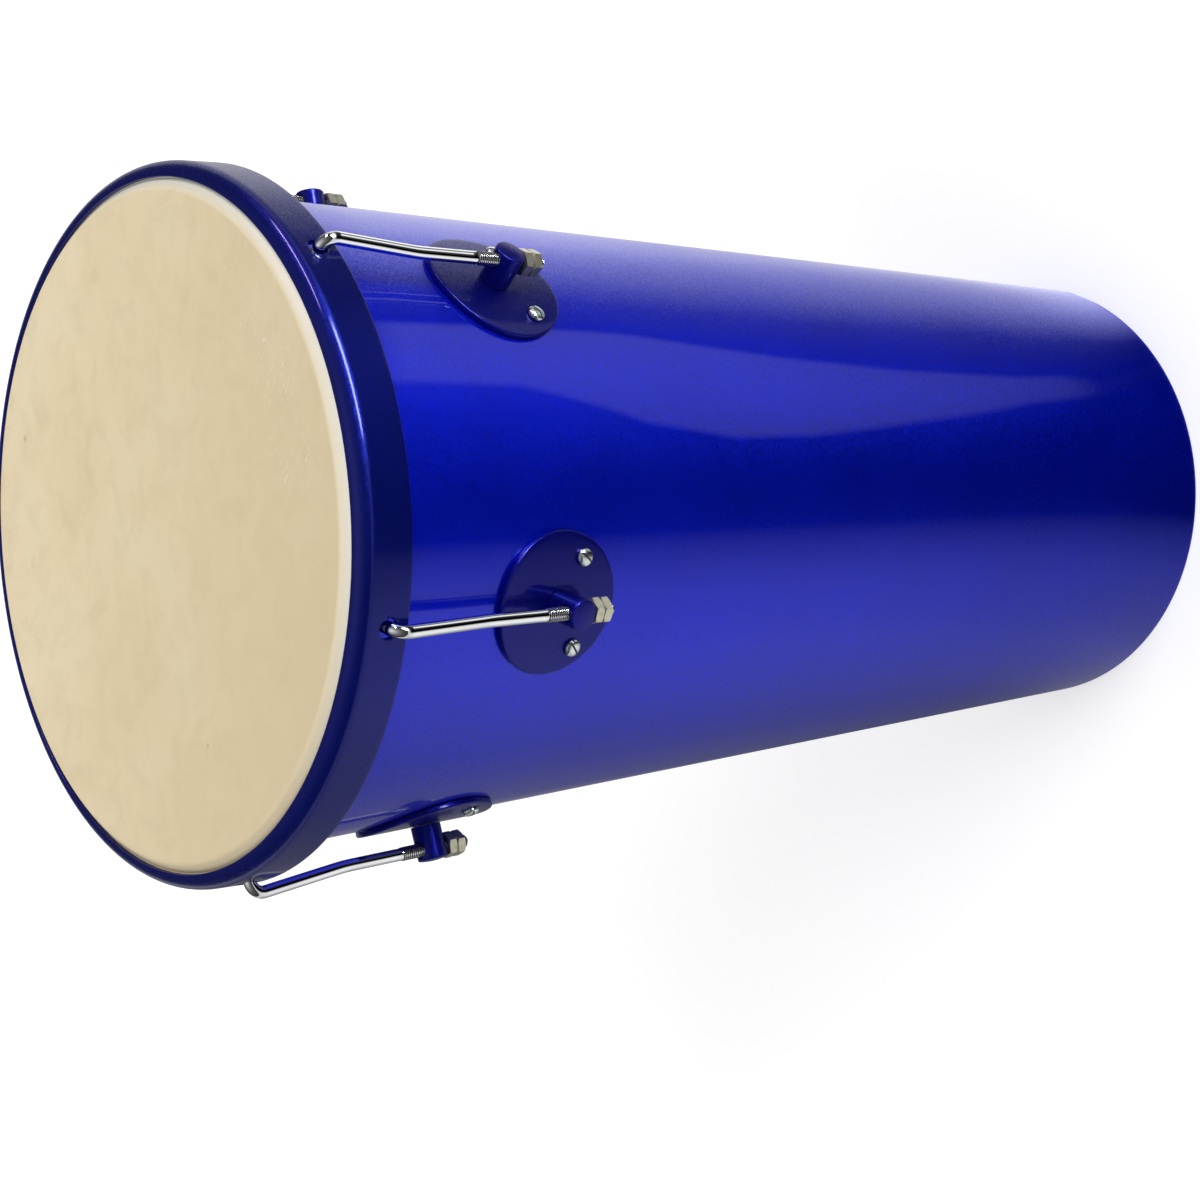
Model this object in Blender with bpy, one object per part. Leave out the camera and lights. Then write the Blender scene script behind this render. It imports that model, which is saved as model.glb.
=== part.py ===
# Rebolo: a conical hand drum with one hide head, six lugs and an open lower end.
# It stands upright on its open end. Metres, +Z up, origin at the centre of the open end.

import math

import bmesh
import bpy
from mathutils import Matrix, Vector

# Clearances
SEAT_GAP = 0.0003
NUT_SEAT_GAP = 0.0005
HOOK_SEAT_GAP = 0.0005
HOLE_GAP = 0.0004

# Shell: a straight cone, wide at the head
DRUM_HEIGHT = 0.550
SHELL_TOP_RADIUS = 0.1397
SHELL_FOOT_RADIUS = 0.1110
SHELL_WALL = 0.007
EDGE_ROUND = 0.002
EDGE_CREST = 0.001
EDGE_CHAMFER = 0.004
FOOT_ROUND = 0.001

# Head and its hoops
SKIN_THICKNESS = 0.0012
FLESH_HOOP_RADIUS = 0.0023
FLESH_HOOP_STANDOFF = 0.0021
FLESH_HOOP_DROP = 0.0084
SKIN_TUCK = 0.002
HOOP_WALL = 0.0025
HOOP_DEPTH = 0.0232
HOOP_LIP = 0.0004
HOOP_EDGE_ROUND = 0.0006
HOOK_HOLE_RADIUS = 0.0041
HOOK_HOLE_DROP = 0.01625

# How far the hoop lifts when the nuts are backed off
HOOP_TRAVEL = 0.003

# Tension hooks
LUG_COUNT = 6
SHANK_RADIUS = 0.0027
THREAD_RADIUS = 0.003
THREAD_ABOVE_POST = 0.010
THREAD_LEAD_IN = 0.0006
HOOK_TIP_DEPTH = 0.0042
HOOK_BEND_RADIUS = 0.0055
HOOK_REACH = 0.0047
KNEE_ABOVE_POST = 0.0455
KNEE_LENGTH = 0.008
ROD_HEIGHT = 0.0132
ROD_STUB = 0.0032

# Lugs: a round plate bent to the shell, and a post that the rod runs through
LUG_DROP = 0.1080
PLATE_RADIUS = 0.030
PLATE_THICKNESS = 0.0025
PLATE_EDGE_ROUND = 0.0008
PLATE_STRIP = 0.010
POST_RADIUS = 0.0065
POST_HEIGHT = 0.0188
POST_EDGE_ROUND = 0.0008
SPIGOT_RADIUS = 0.004

# Hexagon nuts on the rods
NUT_FLATS = 0.010
NUT_HEIGHT = 0.0042
TENSION_NUT_TURN = 6.0
LOCK_NUT_TURN = 8.0
NUT_TURN_STEP = 32.0

# Lug screws and the flanged nuts inside the shell
SCREW_SPREAD = 0.0186
SCREW_DROP = 0.0112
SCREW_RADIUS = 0.0019
SCREW_HEAD_RADIUS = 0.0038
SCREW_HEAD_HEIGHT = 0.0024
SCREW_DOME = ((0.55, 0.88), (0.9, 0.5))
SCREW_SLOT_WIDTH = 0.0010
SCREW_SLOT_DEPTH = 0.0010
SCREW_SLOT_TURN = 40.0
SCREW_END = 0.0015
FLANGE_RADIUS = 0.0048
FLANGE_HEIGHT = 0.001
SMALL_NUT_FLATS = 0.007
SMALL_NUT_HEIGHT = 0.0032

# Mesh fineness
TURN_STEPS = 60
LUG_STEPS = 30
POST_STEPS = 18
SMALL_STEPS = 12
HOOK_HOLE_STEPS = 16
WIRE_STEPS = 8
BEND_STEPS = 7
ARC_STEPS = 4
FINE_ARC_STEPS = 2
SHARP_ANGLE = 35.0
MERGE_DISTANCE = 0.00001

# Sizes that follow from the ones above
shellTop = DRUM_HEIGHT - SKIN_THICKNESS - SEAT_GAP
shellSlope = (SHELL_TOP_RADIUS - SHELL_FOOT_RADIUS) / shellTop
shellLean = math.atan(shellSlope)
edgeCentre = (SHELL_TOP_RADIUS - EDGE_ROUND, shellTop - EDGE_ROUND)
fleshCentre = (SHELL_TOP_RADIUS + FLESH_HOOP_STANDOFF + FLESH_HOOP_RADIUS, DRUM_HEIGHT - FLESH_HOOP_DROP)
skinInnerRound = FLESH_HOOP_RADIUS + SEAT_GAP
skinOuterRound = skinInnerRound + SKIN_THICKNESS
hoopInnerRound = skinOuterRound + SEAT_GAP
hoopOuterRound = hoopInnerRound + HOOP_WALL
hoopOuterRadius = fleshCentre[0] + hoopOuterRound
hoopInnerRadius = fleshCentre[0] + hoopInnerRound
hoopTop = fleshCentre[1] + hoopOuterRound
lugHeight = DRUM_HEIGHT - LUG_DROP
rodDrift = HOOP_TRAVEL * math.sin(shellLean)
rodBore = THREAD_RADIUS + HOLE_GAP + rodDrift
nutStation = POST_RADIUS + SEAT_GAP + NUT_HEIGHT / 2
lockNutStation = nutStation + NUT_HEIGHT + SEAT_GAP
rodEnd = lockNutStation + NUT_HEIGHT / 2 + ROD_STUB
hookAxis = DRUM_HEIGHT - HOOK_HOLE_DROP - (HOOK_HOLE_RADIUS - SHANK_RADIUS - HOOK_SEAT_GAP)


def clear_scene():
    for item in list(bpy.data.objects):
        bpy.data.objects.remove(item, do_unlink=True)


def make_material(name, colour, roughness, metallic):
    material = bpy.data.materials.new(name)
    material.use_nodes = True
    shader = material.node_tree.nodes["Principled BSDF"]
    shader.inputs["Base Color"].default_value = (*colour, 1.0)
    shader.inputs["Roughness"].default_value = roughness
    shader.inputs["Metallic"].default_value = metallic
    return material


def make_materials():
    return {
        "lacquer": make_material("blue_lacquer", (0.01, 0.01, 0.42), 0.15, 0.3),
        "hide": make_material("natural_hide", (0.78, 0.68, 0.48), 0.6, 0.0),
        "wire": make_material("flesh_hoop_steel", (0.45, 0.43, 0.40), 0.4, 1.0),
        "navy": make_material("navy_enamel", (0.01, 0.015, 0.09), 0.18, 0.2),
        "chrome": make_material("hook_chrome", (0.85, 0.86, 0.88), 0.06, 1.0),
        "nickel": make_material("nut_nickel", (0.55, 0.52, 0.42), 0.35, 1.0),
        "zinc": make_material("screw_zinc", (0.70, 0.74, 0.76), 0.25, 1.0),
    }


# Shared geometry

def shell_radius(height):
    return SHELL_TOP_RADIUS - shellSlope * (shellTop - height)


def arc(centre, radius, start, end, steps=ARC_STEPS):
    angles = [math.radians(start + (end - start) * step / steps) for step in range(steps + 1)]
    return [(centre[0] + radius * math.cos(a), centre[1] + radius * math.sin(a)) for a in angles]


def surface_frame(angle, height):
    # Axes on the shell's outer face: X round the drum, Y up the slope, Z straight out.
    away = Vector((math.cos(angle), math.sin(angle), 0))
    around = Vector((-math.sin(angle), math.cos(angle), 0))
    up = away * math.sin(shellLean) + Vector((0, 0, math.cos(shellLean)))
    out = around.cross(up)
    frame = Matrix((around, up, out)).transposed().to_4x4()
    frame.translation = away * shell_radius(height) + Vector((0, 0, height))
    return frame


def lug_angles():
    return [math.radians(-90 + 360 / LUG_COUNT * index) for index in range(LUG_COUNT)]


def rod_frame(angle, station):
    # Z runs down the rod from the post, with its zero where the rod crosses the post.
    across = Matrix.Translation((0, -station, ROD_HEIGHT)) @ Matrix.Rotation(math.radians(90), 4, "X")
    return surface_frame(angle, lugHeight) @ across


def screw_frames(angle):
    height = lugHeight - SCREW_DROP * math.cos(shellLean)
    offset = SCREW_SPREAD / shell_radius(height)
    return [surface_frame(angle + side * offset, height) for side in (-1, 1)]


def circle(radius, steps, centre=(0, 0), turn=0.0):
    angles = [turn + 2 * math.pi * step / steps for step in range(steps)]
    return [(centre[0] + radius * math.cos(a), centre[1] + radius * math.sin(a)) for a in angles]


def bore_circle(radius, steps, centre=(0, 0)):
    # The flats of the circle stay at the bore's radius.
    return circle(radius / math.cos(math.pi / steps), steps, centre)


# Mesh builders

def finish_mesh(name, shape):
    bmesh.ops.recalc_face_normals(shape, faces=shape.faces)
    mesh = bpy.data.meshes.new(name)
    shape.to_mesh(mesh)
    shape.free()
    mesh.shade_smooth()
    mesh.set_sharp_from_angle(angle=math.radians(SHARP_ANGLE))
    return mesh


def turned_mesh(name, profile, steps, closed=True):
    # Turns a profile of radius and height points about Z. An open one starts and ends on the axis.
    shape = bmesh.new()
    points = [shape.verts.new((radius, 0, height)) for radius, height in profile]
    pairs = list(zip(points, points[1:]))
    if closed:
        pairs.append((points[-1], points[0]))
    edges = [shape.edges.new(pair) for pair in pairs]
    bmesh.ops.spin(shape, geom=points + edges, cent=(0, 0, 0), axis=(0, 0, 1), dvec=(0, 0, 0),
                   angle=2 * math.pi, steps=steps, use_merge=True)
    bmesh.ops.remove_doubles(shape, verts=shape.verts, dist=MERGE_DISTANCE)
    return finish_mesh(name, shape)


def extruded_shape(outlines, low, high):
    # A flat shape with holes: the first outline is the outside, the others are holes.
    shape = bmesh.new()
    edges = []
    for outline in outlines:
        points = [shape.verts.new((x, y, low)) for x, y in outline]
        edges += [shape.edges.new(pair) for pair in zip(points, points[1:] + points[:1])]
    bmesh.ops.triangle_fill(shape, edges=edges, use_beauty=True)
    bmesh.ops.dissolve_limit(shape, angle_limit=0.01, verts=shape.verts, edges=shape.edges,
                             delimit={"NORMAL"})
    raised = bmesh.ops.extrude_face_region(shape, geom=shape.faces[:])
    moved = [item for item in raised["geom"] if isinstance(item, bmesh.types.BMVert)]
    bmesh.ops.translate(shape, verts=moved, vec=(0, 0, high - low))
    return shape


def cylinder_mesh(name, radius, low, high, steps=SMALL_STEPS):
    return turned_mesh(name, [(0, high), (radius, high), (radius, low), (0, low)], steps, closed=False)


def combined_mesh(name, body, tools, operation):
    # Cuts each tool out of the body, or joins it on. A tool is a mesh with its place.
    base = bpy.data.objects.new(name, body)
    bpy.context.collection.objects.link(base)
    helpers = []
    for mesh, place in tools:
        helper = bpy.data.objects.new(name + "_tool", mesh)
        helper.matrix_world = place
        bpy.context.collection.objects.link(helper)
        helpers.append(helper)
        change = base.modifiers.new("combine", "BOOLEAN")
        change.operation = operation
        change.solver = "EXACT"
        change.object = helper
    graph = bpy.context.evaluated_depsgraph_get()
    result = bpy.data.meshes.new_from_object(base.evaluated_get(graph))
    for item in [base] + helpers:
        bpy.data.objects.remove(item, do_unlink=True)
    result.name = name
    result.shade_smooth()
    result.set_sharp_from_angle(angle=math.radians(SHARP_ANGLE))
    return result


def place(name, data, material, frame=Matrix.Identity(4)):
    piece = bpy.data.objects.new(name, data)
    if not data.materials:
        data.materials.append(material)
    piece.matrix_world = frame
    bpy.context.collection.objects.link(piece)
    return piece


# Shell and head

def add_shell(material):
    inner = SHELL_WALL / math.cos(shellLean)
    crest = edgeCentre[0] - EDGE_CREST
    chamferHeight = shellTop - EDGE_CHAMFER
    profile = arc(edgeCentre, EDGE_ROUND, 0, 90)
    profile += [(crest, shellTop), (shell_radius(chamferHeight) - inner, chamferHeight)]
    profile += [(SHELL_FOOT_RADIUS - inner + shellSlope * FOOT_ROUND, FOOT_ROUND)]
    profile += [(SHELL_FOOT_RADIUS - inner + FOOT_ROUND, 0)]
    profile += [(SHELL_FOOT_RADIUS - FOOT_ROUND, 0)]
    profile += [(SHELL_FOOT_RADIUS + shellSlope * FOOT_ROUND, FOOT_ROUND)]
    body = turned_mesh("shell", profile, TURN_STEPS)
    drill = cylinder_mesh("shell_drill", SCREW_RADIUS + HOLE_GAP, -2 * SHELL_WALL, SHELL_WALL)
    holes = [(drill, frame) for angle in lug_angles() for frame in screw_frames(angle)]
    place("shell", combined_mesh("shell", body, holes, "DIFFERENCE"), material)


def skin_line_start(round_radius, target):
    # Where a straight run to the target point leaves the round of the bearing edge.
    across = target[0] - edgeCentre[0]
    rise = target[1] - edgeCentre[1]
    reach = math.hypot(across, rise)
    return math.degrees(math.atan2(rise, across) + math.acos(round_radius / reach))


def skin_side(edge_round, tuck_round):
    # One face of the skin, from its flat middle over the bearing edge and round the flesh hoop.
    tuck = arc(fleshCentre, tuck_round, 100, 0)
    leave = skin_line_start(edge_round, tuck[0])
    return arc(edgeCentre, edge_round, 90, leave, FINE_ARC_STEPS) + tuck


def add_skin(material):
    innerEdge = EDGE_ROUND + SEAT_GAP
    outerEdge = innerEdge + SKIN_THICKNESS
    foot = fleshCentre[1] - SKIN_TUCK
    profile = [(0, DRUM_HEIGHT)] + skin_side(outerEdge, skinOuterRound)
    profile += [(fleshCentre[0] + skinOuterRound, foot), (fleshCentre[0] + skinInnerRound, foot)]
    profile += list(reversed(skin_side(innerEdge, skinInnerRound))) + [(0, DRUM_HEIGHT - SKIN_THICKNESS)]
    place("skin", turned_mesh("skin", profile, TURN_STEPS, closed=False), material)


def add_flesh_hoop(material):
    profile = circle(FLESH_HOOP_RADIUS, WIRE_STEPS, fleshCentre)
    place("flesh_hoop", turned_mesh("flesh_hoop", profile, TURN_STEPS), material)


def add_counter_hoop(material):
    foot = hoopTop - HOOP_DEPTH
    lipInner = fleshCentre[0] - HOOP_LIP
    cornerCentre = (lipInner + HOOP_EDGE_ROUND, hoopTop - HOOP_EDGE_ROUND)
    profile = [(lipInner, fleshCentre[1] + hoopInnerRound)]
    profile += arc(cornerCentre, HOOP_EDGE_ROUND, 180, 90, FINE_ARC_STEPS)
    profile += arc(fleshCentre, hoopOuterRound, 85, 0)
    profile += [(hoopOuterRadius, foot), (hoopInnerRadius, foot)]
    profile += arc(fleshCentre, hoopInnerRound, 0, 90)
    body = turned_mesh("counter_hoop", profile, TURN_STEPS)
    drill = cylinder_mesh("hoop_drill", HOOK_HOLE_RADIUS, -HOOP_WALL, 2 * HOOP_WALL, HOOK_HOLE_STEPS)
    holes = []
    for angle in lug_angles():
        turn = Matrix.Rotation(angle, 4, "Z") @ Matrix.Translation((hoopInnerRadius, 0, DRUM_HEIGHT - HOOK_HOLE_DROP))
        holes.append((drill, turn @ Matrix.Rotation(math.radians(90), 4, "Y")))
    place("counter_hoop", combined_mesh("counter_hoop", body, holes, "DIFFERENCE"), material)


# Tension hooks

def rod_point(rise):
    # A point on the straight rod in the lug's upright plane, as radius and height.
    radius = shell_radius(lugHeight) + ROD_HEIGHT * math.cos(shellLean) + rise * math.sin(shellLean)
    return (radius, lugHeight - ROD_HEIGHT * math.sin(shellLean) + rise * math.cos(shellLean))


def between(start, end, share):
    return tuple(a + (b - a) * share for a, b in zip(start, end))


def hook_path():
    # From the tip inside the hoop, round the bend, down the slant and along the shell.
    centre = (hoopOuterRadius + HOOK_REACH - HOOK_BEND_RADIUS, hookAxis - HOOK_BEND_RADIUS)
    knee = rod_point(KNEE_ABOVE_POST)
    away = math.hypot(knee[0] - centre[0], knee[1] - centre[1])
    slant = math.atan2(centre[1] - knee[1], centre[0] - knee[0]) - math.asin(HOOK_BEND_RADIUS / away)
    bend = arc(centre, HOOK_BEND_RADIUS, 90, math.degrees(slant) - 90, BEND_STEPS)
    share = KNEE_LENGTH / 2 / away
    upper = between(knee, bend[-1], share)
    lower = rod_point(KNEE_ABOVE_POST - KNEE_LENGTH / 2)
    middle = between(between(upper, lower, 0.5), knee, 0.5)
    return [(hoopInnerRadius - HOOK_TIP_DEPTH, hookAxis)] + bend + [upper, middle, lower]


def add_hook(name, angle, material):
    curve = bpy.data.curves.new(name, "CURVE")
    curve.dimensions = "3D"
    curve.bevel_depth = SHANK_RADIUS
    curve.bevel_resolution = 3
    curve.use_fill_caps = True
    threadStart = POST_RADIUS + THREAD_ABOVE_POST
    points = [(point, 1.0) for point in hook_path()]
    points.append((rod_point(threadStart), 1.0))
    points.append((rod_point(threadStart - THREAD_LEAD_IN), THREAD_RADIUS / SHANK_RADIUS))
    points.append((rod_point(THREAD_LEAD_IN - rodEnd), THREAD_RADIUS / SHANK_RADIUS))
    points.append((rod_point(-rodEnd), 1.0))
    line = curve.splines.new("POLY")
    line.points.add(len(points) - 1)
    for spot, (point, thickness) in zip(line.points, points):
        spot.co = (point[0], 0, point[1], 1)
        spot.radius = thickness
    place(name, curve, material, Matrix.Rotation(angle, 4, "Z"))


# Lugs

def bend_to_shell(point):
    # Wraps a point of the flat plate round the shell, seen in the frame of the lug at angle 0.
    height = lugHeight + point.y * math.cos(shellLean)
    radius = shell_radius(height) + point.z * math.cos(shellLean)
    angle = point.x / shell_radius(height)
    spot = Vector((radius * math.cos(angle), radius * math.sin(angle), height - point.z * math.sin(shellLean)))
    return surface_frame(0, lugHeight).inverted() @ spot


def plate_mesh():
    screws = [(side * SCREW_SPREAD, -SCREW_DROP) for side in (-1, 1)]
    outlines = [circle(PLATE_RADIUS, LUG_STEPS), bore_circle(SPIGOT_RADIUS + HOLE_GAP, SMALL_STEPS)]
    outlines += [bore_circle(SCREW_RADIUS + HOLE_GAP, SMALL_STEPS, centre) for centre in screws]
    top = SEAT_GAP + PLATE_THICKNESS
    shape = extruded_shape(outlines, SEAT_GAP, top)
    rim = [edge for edge in shape.edges
           if all(abs(v.co.z - top) < MERGE_DISTANCE and v.co.xy.length > PLATE_RADIUS - PLATE_EDGE_ROUND
                  for v in edge.verts)]
    bmesh.ops.bevel(shape, geom=rim, offset=PLATE_EDGE_ROUND, segments=1, profile=0.5, affect="EDGES")
    strips = int(PLATE_RADIUS / PLATE_STRIP)
    for strip in range(-strips, strips + 1):
        everything = shape.verts[:] + shape.edges[:] + shape.faces[:]
        bmesh.ops.bisect_plane(shape, geom=everything, dist=MERGE_DISTANCE,
                               plane_co=(strip * PLATE_STRIP, 0, 0), plane_no=(1, 0, 0))
    bmesh.ops.triangulate(shape, faces=shape.faces)
    for vertex in shape.verts:
        vertex.co = bend_to_shell(vertex.co)
    return finish_mesh("lug_plate", shape)


def post_mesh():
    seat = 2 * SEAT_GAP + PLATE_THICKNESS
    topCentre = (POST_RADIUS - POST_EDGE_ROUND, POST_HEIGHT - POST_EDGE_ROUND)
    profile = [(0, POST_HEIGHT)] + arc(topCentre, POST_EDGE_ROUND, 90, 0, FINE_ARC_STEPS)
    profile += [(POST_RADIUS, seat), (SPIGOT_RADIUS, seat), (SPIGOT_RADIUS, SEAT_GAP), (0, SEAT_GAP)]
    body = turned_mesh("lug_post", profile, POST_STEPS, closed=False)
    reach = POST_RADIUS * 2
    drill = cylinder_mesh("post_drill", rodBore / math.cos(math.pi / SMALL_STEPS), -reach, reach)
    aim = Matrix.Translation((0, 0, ROD_HEIGHT)) @ Matrix.Rotation(math.radians(90), 4, "X")
    return combined_mesh("lug_post", body, [(drill, aim)], "DIFFERENCE")


def hexagon(flats):
    return circle(flats / 2 / math.cos(math.pi / 6), 6)


def nut_mesh():
    outlines = [hexagon(NUT_FLATS), bore_circle(rodBore, SMALL_STEPS)]
    return finish_mesh("nut", extruded_shape(outlines, -NUT_HEIGHT / 2, NUT_HEIGHT / 2))


# Lug screws

def screw_mesh():
    seat = 2 * SEAT_GAP + PLATE_THICKNESS
    tip = -(SHELL_WALL + NUT_SEAT_GAP + FLANGE_HEIGHT + SMALL_NUT_HEIGHT + SCREW_END)
    top = seat + SCREW_HEAD_HEIGHT
    # The dome's points are shares of the head's radius and height.
    profile = [(0, top)] + [(SCREW_HEAD_RADIUS * r, seat + SCREW_HEAD_HEIGHT * h) for r, h in SCREW_DOME]
    profile += [(SCREW_HEAD_RADIUS, seat), (SCREW_RADIUS, seat), (SCREW_RADIUS, tip), (0, tip)]
    body = turned_mesh("lug_screw", profile, SMALL_STEPS, closed=False)
    length = SCREW_HEAD_RADIUS + SCREW_SLOT_WIDTH
    side = SCREW_SLOT_WIDTH / 2
    outline = [(-length, -side), (length, -side), (length, side), (-length, side)]
    slot = extruded_shape([outline], top - SCREW_SLOT_DEPTH, top + SCREW_SLOT_DEPTH)
    tool = finish_mesh("screw_slot", slot)
    turn = Matrix.Rotation(math.radians(SCREW_SLOT_TURN), 4, "Z")
    return combined_mesh("lug_screw", body, [(tool, turn)], "DIFFERENCE")


def small_nut_mesh():
    # Flange and hexagon face the shell's inner wall.
    bore = bore_circle(SCREW_RADIUS + HOLE_GAP, SMALL_STEPS)
    seat = -(SHELL_WALL + NUT_SEAT_GAP)
    flange = finish_mesh("flange", extruded_shape([circle(FLANGE_RADIUS, SMALL_STEPS), bore],
                                                   seat - FLANGE_HEIGHT, seat))
    low = seat - FLANGE_HEIGHT - SMALL_NUT_HEIGHT
    block = finish_mesh("hexagon", extruded_shape([hexagon(SMALL_NUT_FLATS), bore], low, seat - FLANGE_HEIGHT / 2))
    return combined_mesh("shell_nut", flange, [(block, Matrix.Identity(4))], "UNION")


def add_lugs(materials):
    plate = plate_mesh()
    post = post_mesh()
    nut = nut_mesh()
    screw = screw_mesh()
    shellNut = small_nut_mesh()
    for index, angle in enumerate(lug_angles()):
        number = str(index + 1)
        place("lug_plate_" + number, plate, materials["navy"], surface_frame(angle, lugHeight))
        place("lug_post_" + number, post, materials["navy"], surface_frame(angle, lugHeight))
        add_hook("tension_hook_" + number, angle, materials["chrome"])
        twist = math.radians(NUT_TURN_STEP * index)
        for name, station, turn in (("tension_nut_", nutStation, TENSION_NUT_TURN),
                                    ("lock_nut_", lockNutStation, LOCK_NUT_TURN)):
            spun = Matrix.Rotation(math.radians(turn) + twist, 4, "Z")
            place(name + number, nut, materials["nickel"], rod_frame(angle, station) @ spun)
        for side, frame in zip("ab", screw_frames(angle)):
            place("lug_screw_" + number + side, screw, materials["zinc"], frame)
            place("shell_nut_" + number + side, shellNut, materials["zinc"], frame)


def main():
    clear_scene()
    materials = make_materials()
    add_shell(materials["lacquer"])
    add_skin(materials["hide"])
    add_flesh_hoop(materials["wire"])
    add_counter_hoop(materials["navy"])
    add_lugs(materials)


main()
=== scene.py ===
import math

import bmesh
import bpy
from mathutils import Matrix, Vector, noise


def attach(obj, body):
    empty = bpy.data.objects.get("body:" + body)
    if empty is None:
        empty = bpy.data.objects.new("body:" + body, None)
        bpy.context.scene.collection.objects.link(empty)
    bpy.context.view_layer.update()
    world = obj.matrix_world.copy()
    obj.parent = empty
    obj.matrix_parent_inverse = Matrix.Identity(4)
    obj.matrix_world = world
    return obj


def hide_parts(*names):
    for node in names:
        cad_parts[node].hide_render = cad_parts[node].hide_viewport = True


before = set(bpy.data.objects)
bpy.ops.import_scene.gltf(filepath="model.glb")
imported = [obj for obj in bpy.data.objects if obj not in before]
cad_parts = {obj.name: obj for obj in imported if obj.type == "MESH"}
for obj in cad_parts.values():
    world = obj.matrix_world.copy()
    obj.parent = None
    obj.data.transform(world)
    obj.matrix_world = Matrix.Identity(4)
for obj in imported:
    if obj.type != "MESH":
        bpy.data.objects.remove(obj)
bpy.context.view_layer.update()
print("frame loaded,", len(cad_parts), "nodes")

# The drum stands on its open end with lug 1 towards -Y. Everything is in metres.
drum = {
    "height": 0.550,
    "lugs": 6,
    "firstLugAngle": -90.0,
    "turnSteps": 240,
    "sharpAngle": 32.0,
    "seatGap": 0.0003,
    "tolerance": 0.00001,
}


def arc(centre, radius, start, end, steps):
    angles = [math.radians(start + (end - start) * step / steps) for step in range(steps + 1)]
    return [(centre[0] + radius * math.cos(a), centre[1] + radius * math.sin(a)) for a in angles]


def between(start, end, share):
    return (start[0] + (end[0] - start[0]) * share, start[1] + (end[1] - start[1]) * share)


def line(start, end, steps):
    return [between(start, end, step / steps) for step in range(steps + 1)]


def polar(radius, angle, height):
    return (radius * math.cos(angle), radius * math.sin(angle), height)


def stepAngles(steps):
    return [2 * math.pi * step / steps for step in range(steps)]


def turned(profile, steps):
    # One ring of points for each radius and height
    return [[polar(radius, angle, height) for angle in stepAngles(steps)] for radius, height in profile]


def joinRings(rings, loop=False):
    # Skins a row of rings with quads. A loop closes on itself, and other rows get a fan at both ends
    shape = bmesh.new()
    rows = [[shape.verts.new(point) for point in ring] for ring in rings]
    for low, high in zip(rows, rows[1:] + rows[:1] if loop else rows[1:]):
        for here in range(len(low)):
            following = (here + 1) % len(low)
            shape.faces.new((low[here], low[following], high[following], high[here]))
    for row in [] if loop else [rows[0], rows[-1]]:
        middle = shape.verts.new(sum((v.co for v in row), Vector()) / len(row))
        for here in range(len(row)):
            shape.faces.new((row[here], row[(here + 1) % len(row)], middle))
    return shape


def shapeToMesh(name, shape, place=Matrix.Identity(4)):
    shape.transform(place)
    bmesh.ops.recalc_face_normals(shape, faces=shape.faces)
    mesh = bpy.data.meshes.new(name)
    shape.to_mesh(mesh)
    shape.free()
    return mesh


def rotation(degrees, axis):
    return Matrix.Rotation(math.radians(degrees), 4, axis)


def turnedMesh(name, profile, steps, loop=False):
    return shapeToMesh(name, joinRings(turned(profile, steps), loop))


def addObject(name, data):
    made = bpy.data.objects.new(name, data)
    bpy.context.collection.objects.link(made)
    return made


def cutMesh(mesh, cutters):
    # Takes each cutter out of the mesh
    body = addObject("cutBody", mesh)
    tools = []
    for cutter, place in cutters:
        tool = addObject("cutTool", cutter)
        tool.matrix_world = place
        tools.append(tool)
        change = body.modifiers.new("cut", "BOOLEAN")
        change.operation = "DIFFERENCE"
        change.solver = "EXACT"
        change.object = tool
    made = bpy.data.meshes.new_from_object(body.evaluated_get(bpy.context.evaluated_depsgraph_get()))
    for item in [body] + tools:
        bpy.data.objects.remove(item, do_unlink=True)
    return made


def addPiece(name, mesh, materials, body, nodes, place=None):
    # Puts a finished piece in the scene, on its body and in the stead of its CAD nodes
    if place is not None:
        mesh = mesh.copy()
        mesh.transform(place)
    mesh.name = name
    shares = [face.material_index for face in mesh.polygons]
    mesh.materials.clear()
    for material in materials:
        mesh.materials.append(material)
    mesh.polygons.foreach_set("material_index", shares)
    mesh.shade_smooth()
    mesh.set_sharp_from_angle(angle=math.radians(drum["sharpAngle"]))
    piece = addObject(name, mesh)
    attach(piece, body)
    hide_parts(*nodes)
    return piece


# Node helpers

def feed(tree, node, values):
    # Sets sockets to numbers and colours, or links them to other nodes' outputs
    for key, value in values.items():
        if isinstance(value, bpy.types.NodeSocket):
            tree.links.new(value, node.inputs[key])
        else:
            node.inputs[key].default_value = value


def addNode(tree, kind, values=None, **settings):
    node = tree.nodes.new(kind)
    for key, value in settings.items():
        setattr(node, key, value)
    feed(tree, node, values or {})
    return node


def mathNode(tree, operation, *values, clamp=False):
    node = addNode(tree, "ShaderNodeMath", dict(enumerate(values)), operation=operation, use_clamp=clamp)
    return node.outputs[0]


def times(tree, first, second):
    return mathNode(tree, "MULTIPLY", first, second)


def timesPlus(tree, first, second, third):
    return mathNode(tree, "MULTIPLY_ADD", first, second, third)


def vectorNode(tree, operation, *values, scale=None):
    node = addNode(tree, "ShaderNodeVectorMath", dict(enumerate(values)), operation=operation)
    if scale is not None:
        feed(tree, node, {"Scale": scale})
    return node.outputs["Value" if operation == "LENGTH" else "Vector"]


def greyRamp(tree, source, low, high, smooth=False):
    # Each end of the ramp is a position and the grey there
    node = addNode(tree, "ShaderNodeValToRGB", {"Fac": source})
    node.color_ramp.interpolation = "EASE" if smooth else "LINEAR"
    for element, (position, value) in zip(node.color_ramp.elements, (low, high)):
        element.position = position
        element.color = (value, value, value, 1.0)
    return node.outputs["Color"]


def mixColours(tree, factor, first, second):
    return addNode(tree, "ShaderNodeMix", {0: factor, 6: first, 7: second}, data_type="RGBA").outputs[2]


def spread(tree, source, low, high):
    # Maps a mask from 0..1 to a range
    node = addNode(tree, "ShaderNodeMapRange", {"Value": source, "To Min": low, "To Max": high})
    return node.outputs["Result"]


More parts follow.
